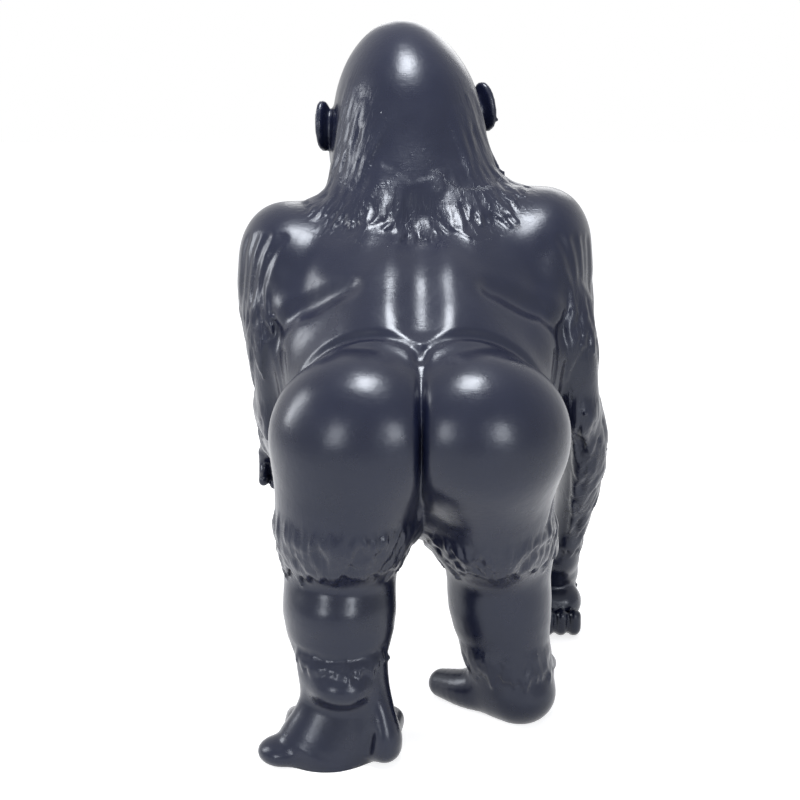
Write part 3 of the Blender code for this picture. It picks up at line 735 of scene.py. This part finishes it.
def left_foot(clay):
    """The trailing foot: heel raised, standing on the ball and the toes."""
    ball(clay, (-0.146, 0.046, 0.156), (0.058, 0.050, 0.038), blend=0.022)
    sole = [
        (-0.148, 0.085, 0.170, 0.080, 0.055),
        (-0.147, 0.078, 0.108, 0.082, 0.048),
        (-0.160, 0.070, 0.055, 0.088, 0.056),
        (-0.182, 0.066, 0.014, 0.092, 0.066),
    ]
    limb(clay, sole, blend=0.025)
    ball(clay, (-0.258, 0.054, 0.018), (0.050, 0.044, 0.027), blend=0.014)
    edge = [
        (-0.096, 0.084, 0.160, 0.024, 0.034),
        (-0.078, 0.062, 0.108, 0.026, 0.036),
        (-0.068, 0.044, 0.058, 0.033, 0.040),
        (-0.067, 0.042, 0.036, 0.033, 0.038),
    ]
    limb(clay, edge, blend=0.028)
    ball(clay, (-0.094, -0.002, 0.052), (0.006, 0.026, 0.034), (0, 14, 0), blend=0.008, cut=True)
    limb(clay, [(-0.070, 0.060, 0.040, 0.030, 0.034), (-0.056, 0.150, 0.030, 0.027, 0.028)], blend=0.016)
    for k in range(4):
        root = Vector((-0.236 + 0.030 * k, 0.100 + 0.012 * k, 0.022))
        tip = root + Vector((-0.010 + 0.004 * k, 0.098 + 0.002 * k, -0.008))
        middle = (root + tip) / 2 + Vector((0, 0, 0.008))
        girth = [TOE_GIRTH * g for g in (1.12, 1.04, 0.86)]
        stations = [(*p, g, 1.08 * g) for p, g in zip((root, middle, tip), girth)]
        limb(clay, stations, side=(0.9, 0.4, 0), blend=0.008)


def right_foot(clay):
    """The leading foot, flat on the ground."""
    ball(clay, (0.203, 0.229, 0.052), (0.073, 0.067, 0.065), blend=0.03)
    sole = [
        (0.190, 0.260, 0.080, 0.070, 0.070),
        (0.192, 0.330, 0.050, 0.078, 0.052),
        (0.196, 0.410, 0.032, 0.088, 0.036),
    ]
    limb(clay, sole, blend=0.03)
    big_toe = [
        (0.150, 0.250, 0.046, 0.045, 0.050),
        (0.100, 0.275, 0.036, 0.040, 0.040),
        (0.052, 0.315, 0.028, 0.030, 0.030),
    ]
    limb(clay, big_toe, side=(0.7, 0.7, 0), blend=0.025)
    for k in range(4):
        root = Vector((0.136 + 0.040 * k, 0.420 - 0.014 * k, 0.032))
        tip = root + Vector((-0.004 + 0.010 * k, 0.085 - 0.012 * k, -0.012))
        middle = (root + tip) / 2 + Vector((0, 0, 0.010))
        girth = [TOE_GIRTH * g for g in (1.09, 1.0, 0.82)]
        stations = [(*p, g, 1.1 * g) for p, g in zip((root, middle, tip), girth)]
        limb(clay, stations, blend=0.010)


def shoulder_and_upper_arm(clay, side, out, height, elbow):
    ball(clay, (side * out, 0.533, height), (0.105, 0.139, 0.135), (0, side * 10, 0), blend=0.045)
    top = Vector((side * (out + 0.026), 0.535, height - 0.060))
    middle = top.lerp(Vector(elbow), 0.5)
    bone = [(*top, 0.078, 0.125), (*middle, 0.060, UPPER_ARM_HALF_DEPTH), (*elbow, 0.046, 0.080)]
    limb(clay, bone, blend=0.04)


def forearm(clay, path, widths):
    """From the elbow to the wrist, thickest just below the elbow."""
    depths = [FOREARM_HALF_DEPTH * d for d in (0.86, 1.0, 0.84, 0.60, 0.48)]
    limb(clay, [(*p, w, d) for p, w, d in zip(path, widths, depths)], blend=0.025)


def muscle(clay, side, points, width, depth):
    limb(clay, [(side * x, y, z, width, depth) for x, y, z in points], blend=0.03)


def arms(clay):
    elbow = (0.333, 0.514, 0.583)
    shoulder_and_upper_arm(clay, 1, RIGHT_SHOULDER_OUT, RIGHT_SHOULDER_HEIGHT, elbow)
    below = [(0.357, 0.552, 0.478), (0.352, 0.580, 0.384), (0.337, 0.612, 0.278), (0.328, 0.636, 0.185)]
    forearm(clay, [elbow, *below], (0.046, 0.052, 0.047, 0.039, WRIST_HALF_WIDTH))
    muscle(clay, 1, [(0.300, 0.440, 0.800), (0.318, 0.425, 0.700), (0.325, 0.450, 0.610)], 0.045, 0.040)
    muscle(clay, 1, [(0.290, 0.610, 0.780), (0.305, 0.618, 0.700), (0.325, 0.590, 0.600)], 0.042, 0.036)
    ball(clay, (0.334, 0.440, 0.572), (0.032, 0.034, 0.044), blend=0.02)
    elbow = (-0.292, 0.514, 0.578)
    shoulder_and_upper_arm(clay, -1, LEFT_SHOULDER_OUT, LEFT_SHOULDER_HEIGHT, elbow)
    below = [(-0.298, 0.597, 0.528), (-0.306, 0.703, 0.471), (-0.315, 0.785, 0.428), (-0.321, 0.825, 0.408)]
    forearm(clay, [elbow, *below], (0.044, 0.047, 0.042, 0.035, WRIST_HALF_WIDTH * 0.9))
    muscle(clay, -1, [(0.296, 0.440, 0.780), (0.292, 0.425, 0.690), (0.288, 0.440, 0.600)], 0.042, 0.040)
    muscle(clay, -1, [(0.292, 0.610, 0.750), (0.290, 0.620, 0.680), (0.290, 0.610, 0.600)], 0.042, 0.036)
    ball(clay, (-0.290, 0.436, 0.552), (0.031, 0.034, 0.040), blend=0.02)


def right_hand(clay):
    """The planted fist: it stands on the backs of its folded fingers."""
    palm = [
        (0.324, 0.636, 0.190, WRIST_HALF_WIDTH, 0.040),
        (0.319, 0.668, 0.140, 0.054, 0.040),
        (0.316, 0.704, 0.100, 0.057, 0.038),
    ]
    limb(clay, palm, blend=0.02)
    fist = [(0.292, 0.670, 0.062, 0.052, 0.044), (0.338, 0.670, 0.062, 0.052, 0.044)]
    limb(clay, fist, (0, 1, 0), blend=0.012)
    for k in range(4):
        x = 0.271 + 0.0295 * k
        fold = [
            (0.718, 0.100, 0.90),
            (0.740, 0.058, 1.00),
            (0.718, 0.016, 1.00),
            (0.618, 0.016, 0.97),
            (0.602, 0.052, 0.88),
        ]
        limb(clay, [(x, y, z, FINGER_GIRTH * g, 1.12 * FINGER_GIRTH * g) for y, z, g in fold], blend=0.005)
    thumb = [(0.281, 0.645, 0.125, 0.018), (0.254, 0.634, 0.085, 0.016), (0.250, 0.630, 0.050, 0.013)]
    limb(clay, [(x, y, z, g, g) for x, y, z, g in thumb], blend=0.010)


def left_hand(clay):
    """The lifted hand: the fingers hang relaxed from the wrist."""
    palm = [
        (-0.321, 0.806, 0.419, 0.034, 0.032),
        (-0.323, 0.846, 0.392, 0.046, 0.029),
        (-0.325, 0.872, 0.359, 0.050, 0.026),
    ]
    limb(clay, palm, blend=0.02)
    for k in range(4):
        x = -0.363 + 0.0260 * k
        drop = 0.008 * min(k, 2)
        hang = [
            (0.870, 0.359, 0.90),
            (0.878, 0.331, 0.90),
            (0.860, 0.307 - drop, 0.84),
            (0.833, 0.299 - drop, 0.74),
        ]
        limb(clay, [(x, y, z, FINGER_GIRTH * g, 1.08 * FINGER_GIRTH * g) for y, z, g in hang], blend=0.006)
    thumb = [(-0.289, 0.826, 0.394, 0.016), (-0.272, 0.831, 0.355, 0.014), (-0.276, 0.826, 0.326, 0.012)]
    limb(clay, [(x, y, z, g, g) for x, y, z, g in thumb], blend=0.010)


def creases(clay):
    """Folds and furrows of the bare skin."""
    spine = [(0, 0.470, 0.955), (0, 0.375, 0.890), (0, 0.290, 0.835), (0, 0.200, 0.785)]
    groove(clay, spine, 0.030, 0.003, 0.060)
    ball(clay, (0, -0.020, 0.590), (0.003, 0.070, 0.160), (-8, 0, 0), blend=0.022, cut=True)
    for side in (-1, 1):
        waist = [(0.000, 0.140, 0.758), (0.080, 0.186, 0.778), (0.170, 0.206, 0.756), (0.245, 0.220, 0.690)]
        groove(clay, [(side * x, y, z) for x, y, z in waist], 0.014, 0.008, 0.014)
        lat = [(0.118, 0.305, 0.842), (0.190, 0.325, 0.812), (0.252, 0.370, 0.762)]
        groove(clay, [(side * x, y, z) for x, y, z in lat], 0.020, 0.006, 0.035)
        for n in range(4):
            flank = [
                (0.262, 0.400 - 0.030 * n, 0.790 - 0.020 * n),
                (0.268, 0.350 - 0.030 * n, 0.700 - 0.020 * n),
                (0.245, 0.300 - 0.030 * n, 0.610 - 0.020 * n),
            ]
            groove(clay, [(side * x, y, z) for x, y, z in flank], 0.012, 0.004, 0.016)
            thigh = [
                (0.250, 0.140 + 0.030 * n, 0.520 - 0.020 * n),
                (0.258, 0.130 + 0.030 * n, 0.450 - 0.020 * n),
                (0.235, 0.120 + 0.030 * n, 0.400 - 0.014 * n),
            ]
            groove(clay, [(side * x, y, z) for x, y, z in thigh], 0.011, 0.0035, 0.014)
            cap = [
                (0.270 + 0.024 * n, 0.430 + 0.012 * n, 0.950),
                (0.310 + 0.020 * n, 0.405 + 0.016 * n, 0.870),
                (0.325 + 0.018 * n, 0.400 + 0.022 * n, 0.790),
            ]
            groove(clay, [(side * x, y, z - 0.02) for x, y, z in cap], 0.012, 0.003, 0.016)
    for n in range(5):
        streak = [
            (0.400, 0.540, 0.500 - 0.034 * n),
            (0.378, 0.490, 0.440 - 0.034 * n),
            (0.345, 0.470, 0.390 - 0.034 * n),
        ]
        groove(clay, streak, 0.010, 0.0035, 0.012)
    groove(clay, [(0, 0.720, 0.880), (0, 0.735, 0.800), (0, 0.700, 0.720)], 0.020, 0.007, 0.03)
    ball(clay, (0, 0.618, 0.540), (0.010, 0.016, 0.007), blend=0.010, cut=True)


def fur(clay):
    """The fur's ragged edges where one bulk of the coat ends over the next."""
    coat = Coat(clay, 4)
    down = (0, -0.12, -1)
    nape = [
        (-0.205, 0.560, 1.020),
        (-0.160, 0.500, 1.005),
        (-0.090, 0.462, 0.985),
        (-0.012, 0.444, 0.952),
        (0.078, 0.462, 0.985),
        (0.150, 0.500, 1.015),
        (0.198, 0.550, 1.040),
    ]
    spread = [(-0.55, -0.30, -0.80), (-0.45, -0.35, -0.85), (-0.25, -0.50, -0.85), (0, -0.50, -0.85)]
    spread += [(-x, y, z) for x, y, z in reversed(spread[:3])]
    coat.fringe(nape, spread, 0.085, rows=3, width=0.024, depth=0.006, wild=0.10)
    for side in (-1, 1):
        mane = [(side * 0.150, 0.610, 1.170), (side * 0.120, 0.550, 1.140), (side * 0.070, 0.520, 1.110)]
        coat.fringe(mane, (side * 0.30, -0.25, -0.92), 0.110, rows=2, width=0.020, depth=0.007, wild=0.12)
    for side, drop in ((1, 0), (-1, 0.028)):
        deltoid = [
            (0.290, 0.398, 0.785),
            (0.345, 0.440, 0.755),
            (0.372, 0.530, 0.745),
            (0.350, 0.640, 0.765),
            (0.290, 0.670, 0.790),
        ]
        line = [(side * x, y, z - drop) for x, y, z in deltoid]
        coat.fringe(line, (side * 0.05, -0.10, -1), 0.085, rows=3, width=0.024, depth=0.008, wild=0.30)
        temple = [
            (0.136, 0.022, -0.066),
            (0.120, 0.034, -0.110),
            (0.092, 0.050, -0.145),
            (0.055, 0.066, -0.172),
        ]
        cheek = [HEAD @ Vector((side * x, y, z)) for x, y, z in temple]
        coat.fringe(cheek, (side * 0.2, -0.6, -0.75), 0.060, rows=2, width=0.020, depth=0.008)
    elbow = [(0.300, 0.420, 0.600), (0.340, 0.415, 0.570), (0.374, 0.470, 0.545), (0.378, 0.550, 0.540)]
    coat.fringe(elbow, (0, -0.10, -1), 0.080, rows=2, depth=0.006, wild=0.30)
    back = [(0.322, 0.432, 0.560), (0.326, 0.460, 0.490), (0.331, 0.490, 0.410), (0.334, 0.520, 0.330)]
    coat.fringe(back, (-0.15, -0.30, -0.90), 0.055, rows=1, width=0.022, depth=0.010, wild=0.20)
    for height, near in ((0.470, 0.480), (0.400, 0.510), (0.330, 0.540)):
        outer = [
            (0.345, near - 0.010, height + 0.02),
            (0.378, near, height),
            (0.391, near + 0.060, height - 0.01),
        ]
        coat.fringe(outer, (-0.20, -0.10, -1), 0.080, rows=1, width=0.022, depth=0.008, wild=0.25)
    cuff = around((0.332, 0.618, 0.246), (0.050, 0.060), -200, 20, 9)
    coat.fringe(cuff, down, 0.040, rows=1, width=0.018, depth=0.007, combed=False)
    elbow = [(-0.262, 0.420, 0.585), (-0.300, 0.410, 0.570), (-0.328, 0.460, 0.560), (-0.333, 0.560, 0.575)]
    coat.fringe(elbow, (-0.03, 0.05, -1), 0.070, rows=2, depth=0.009, wild=0.30)
    for ahead in (0.60, 0.68, 0.75):
        rise = (0.68 - ahead) * 0.5
        under = [
            (-0.280, ahead, 0.430 + rise),
            (-0.335, ahead + 0.010, 0.440 + rise),
            (-0.350, ahead + 0.020, 0.500 + rise),
        ]
        coat.fringe(under, (0, 0.35, -0.9), 0.055, rows=1, depth=0.009, wild=0.25)
    knee = around((-0.152, 0.165, 0.416), (0.118, 0.132), -190, 10, 11)
    coat.fringe(knee, down, 0.058, rows=3, width=0.034, depth=0.012, wild=0.16)
    knee = around((0.156, 0.245, 0.384), (0.115, 0.130), -190, 10, 11)
    coat.fringe(knee, down, 0.055, rows=3, width=0.028, depth=0.012, wild=0.30)
    ankle = around((-0.150, 0.100, 0.215), (0.090, 0.090), -165, -15)
    groove(clay, ankle, 0.012, 0.005, 0.014)
    coat.fringe(ankle, down, 0.028, rows=1, width=0.015, depth=0.006, wild=0.35, combed=False)
    heel = around((0.180, 0.258, 0.134), (0.090, 0.092), -175, -5)
    coat.fringe(heel, down, 0.042, rows=2, width=0.016, depth=0.008, combed=False)
    hairline = [
        (-0.124, 0.056, 0.058),
        (-0.078, 0.126, 0.094),
        (0, 0.146, 0.102),
        (0.078, 0.126, 0.094),
        (0.124, 0.056, 0.058),
    ]
    crown = [HEAD @ Vector(p) for p in hairline]
    coat.fringe(crown, (0, 0.55, -0.84), 0.034, rows=2, width=0.018, depth=0.006)
    belly = [(-0.062, 0.360, 0.372), (-0.004, 0.372, 0.356), (0.056, 0.360, 0.372)]
    coat.fringe(belly, (0, -0.35, -0.9), 0.062, rows=2)
    coat.lay()
    return coat


def figure():
    """The whole animal in clay, and the coat that was laid on it."""
    clay = Clay(CELL)
    torso(clay)
    cowl(clay)
    leg(
        clay,
        (-0.130, 0.150, 0.580, 0.134, 0.145),
        (-0.142, 0.140, 0.470, THIGH_HALF_WIDTH, 0.142),
        (-0.151, 0.178, 0.372, 0.111, 0.114),
        (-0.153, 0.138, 0.275, CALF_HALF_WIDTH + 0.007, 0.100),
        (-0.146, 0.095, 0.185, 0.080, 0.068),
    )
    ball(clay, (-0.158, 0.116, 0.286), (0.090, 0.088, 0.074), (8, 0, 0), blend=0.014)
    leg(
        clay,
        (0.130, 0.170, 0.580, 0.130, 0.145),
        (0.136, 0.205, 0.460, THIGH_HALF_WIDTH - 0.007, 0.140),
        (0.157, 0.262, 0.352, 0.111, 0.112),
        (0.162, 0.258, 0.240, CALF_HALF_WIDTH + 0.002, 0.096),
        (0.182, 0.252, 0.110, 0.078, 0.078),
    )
    arms(clay)
    skull(clay)
    clay.soften(FLOW)
    face(clay)
    left_foot(clay)
    right_foot(clay)
    right_hand(clay)
    left_hand(clay)
    creases(clay)
    return clay, fur(clay)


def statue():
    """The figure as one mesh, in the place of the CAD's solid."""
    clay, coat = figure()
    obj = take_skin("gorilla_skin", clay)
    largest_piece(obj)
    even_out(obj.data, SMOOTH_ROUNDS)
    thin_out(obj, TRIANGLES)
    stand_flat(obj)
    coat.comb(obj.data)
    obj.data.transform(Matrix.Translation(ORIGIN))
    for facet in obj.data.polygons:
        facet.use_smooth = True
    return obj


# Looks


def add_node(tree, kind, values, operation=None):
    """A node with its inputs filled, by name or number, with constants or other nodes' outputs."""
    node = tree.nodes.new(kind)
    if operation is not None:
        node.operation = operation
    for name, value in values.items():
        if isinstance(value, bpy.types.NodeSocket):
            tree.links.new(value, node.inputs[name])
        else:
            node.inputs[name].default_value = value
    return node


def satin_paint():
    """Satin black paint with a blue cast over a brushed casting."""
    paint = bpy.data.materials.new("satin_black_paint")
    paint.use_nodes = True
    tree = paint.node_tree
    shader = tree.nodes["Principled BSDF"]
    shader.inputs["Metallic"].default_value = 0
    shader.inputs["IOR"].default_value = 1.46
    shader.inputs["Specular IOR Level"].default_value = 0.42
    shader.inputs["Specular Tint"].default_value = (0.84, 0.90, 1.0, 1)
    shader.inputs["Coat Weight"].default_value = 0.10
    shader.inputs["Coat Roughness"].default_value = 0.20
    place = tree.nodes.new("ShaderNodeTexCoord").outputs["Object"]

    def noise(scale, detail, stretch=(1, 1, 1)):
        mapping = add_node(tree, "ShaderNodeMapping", {"Vector": place, "Scale": stretch})
        grain = {"Vector": mapping.outputs["Vector"], "Scale": scale, "Detail": detail, "Roughness": 0.55}
        return add_node(tree, "ShaderNodeTexNoise", grain).outputs["Fac"]

    def bump(height, strength, distance, under=None):
        raised = {"Height": height, "Strength": strength, "Distance": distance}
        if under is not None:
            raised["Normal"] = under
        return add_node(tree, "ShaderNodeBump", raised).outputs["Normal"]

    tint = tree.nodes.new("ShaderNodeMix")
    tint.data_type = "RGBA"
    tree.links.new(noise(7, 4), tint.inputs["Factor"])
    tint.inputs["A"].default_value = DARK_PAINT
    tint.inputs["B"].default_value = LIGHT_PAINT
    tree.links.new(tint.outputs["Result"], shader.inputs["Base Color"])
    ends = {"From Min": 0.3, "From Max": 0.7, "To Min": SMOOTHEST, "To Max": DULLEST}
    dullness = add_node(tree, "ShaderNodeMapRange", {"Value": noise(16, 5), **ends})
    tree.links.new(dullness.outputs["Result"], shader.inputs["Roughness"])

    combed = tree.nodes.new("ShaderNodeAttribute")
    combed.attribute_name = "strands"
    strand = combed.outputs["Vector"]
    drawn = add_node(tree, "ShaderNodeVectorMath", {0: strand, 1: (120, 12, 0)}, "MULTIPLY")
    wisp = {"Vector": drawn.outputs["Vector"], "Scale": 1, "Detail": 2}
    wisp = add_node(tree, "ShaderNodeTexNoise", wisp).outputs["Fac"]
    share = add_node(tree, "ShaderNodeSeparateXYZ", {"Vector": strand}).outputs["Z"]
    shown = add_node(tree, "ShaderNodeMath", {0: wisp, 1: share}, "MULTIPLY").outputs["Value"]
    normal = bump(noise(60, 4, (1, 1, 7)), 0.10, 0.002)
    normal = bump(noise(22, 3), 0.22, 0.005, normal)
    normal = bump(shown, 0.36, 0.006, normal)
    tree.links.new(normal, shader.inputs["Normal"])
    return paint


def seen_rays(tree):
    """An output of 1 for rays that show the background: seen directly, mirrored or through glass."""
    ray = tree.nodes.new("ShaderNodeLightPath")
    total = ray.outputs["Is Camera Ray"]
    for kind in ("Is Glossy Ray", "Is Transmission Ray"):
        total = add_node(tree, "ShaderNodeMath", {0: total, 1: ray.outputs[kind]}, "MAXIMUM").outputs["Value"]
    return total


def white_floor():
    """A pale floor that the camera sees as white."""
    material = bpy.data.materials.new("white_floor")
    material.use_nodes = True
    tree = material.node_tree
    shader = tree.nodes["Principled BSDF"]
    shader.inputs["Base Color"].default_value = (0.62, 0.62, 0.63, 1)
    shader.inputs["Roughness"].default_value = 0.8
    shader.inputs["Emission Color"].default_value = (1, 1, 1, 1)
    glow = add_node(tree, "ShaderNodeMath", {0: seen_rays(tree), 1: FLOOR_GLOW}, "MULTIPLY")
    tree.links.new(glow.outputs["Value"], shader.inputs["Emission Strength"])
    return material


def studio():
    """A white floor, soft boxes and a white room."""
    scene = bpy.context.scene
    ground = bmesh.new()
    bmesh.ops.create_grid(ground, x_segments=1, y_segments=1, size=14)
    floor = bpy.data.objects.new("floor", bpy.data.meshes.new("floor"))
    ground.to_mesh(floor.data)
    ground.free()
    scene.collection.objects.link(floor)
    floor.data.materials.append(white_floor())

    world = bpy.data.worlds.new("white_room")
    scene.world = world
    world.use_nodes = True
    tree = world.node_tree
    way = tree.nodes.new("ShaderNodeTexCoord").outputs["Generated"]
    axes = add_node(tree, "ShaderNodeSeparateXYZ", {"Vector": way})
    ends = {"From Min": -0.6, "From Max": 0.5, "To Min": ROOM_FRONT, "To Max": ROOM_BACK}
    level = add_node(tree, "ShaderNodeMapRange", {"Value": axes.outputs["Y"], **ends})
    light = tree.nodes["Background"]
    light.inputs["Color"].default_value = (0.93, 0.96, 1.0, 1)
    tree.links.new(level.outputs["Result"], light.inputs["Strength"])
    seen = add_node(tree, "ShaderNodeBackground", {"Color": (1, 1, 1, 1), "Strength": 1.0})
    either = {"Fac": seen_rays(tree), 1: light.outputs["Background"], 2: seen.outputs["Background"]}
    chosen = add_node(tree, "ShaderNodeMixShader", either)
    tree.links.new(chosen.outputs["Shader"], tree.nodes["World Output"].inputs["Surface"])

    def softbox(name, location, size, energy):
        lamp = bpy.data.lights.new(name, "AREA")
        lamp.shape = "RECTANGLE"
        lamp.size, lamp.size_y = size
        lamp.energy = energy
        box = bpy.data.objects.new(name, lamp)
        scene.collection.objects.link(box)
        box.location = location
        aim = Vector(BOXES_FACE) - Vector(location)
        box.rotation_euler = aim.to_track_quat("-Z", "Y").to_euler()

    for name, location, size, energy in BOXES:
        softbox(name, location, size, energy)


def photographer():
    """The camera behind the figure and a little above it, and the plain view transform."""
    scene = bpy.context.scene
    lens = bpy.data.cameras.new("camera")
    lens.sensor_width = 36
    lens.lens = CAMERA_LENS
    camera = bpy.data.objects.new("camera", lens)
    scene.collection.objects.link(camera)
    camera.location = CAMERA_AT + ORIGIN
    camera.rotation_euler = (math.radians(CAMERA_TILT), 0, 0)
    scene.camera = camera
    scene.view_settings.view_transform = "Standard"


photographer()
gorilla = statue()
gorilla.data.materials.clear()
gorilla.data.materials.append(satin_paint())
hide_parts("gorilla")
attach(gorilla, "root")
studio()
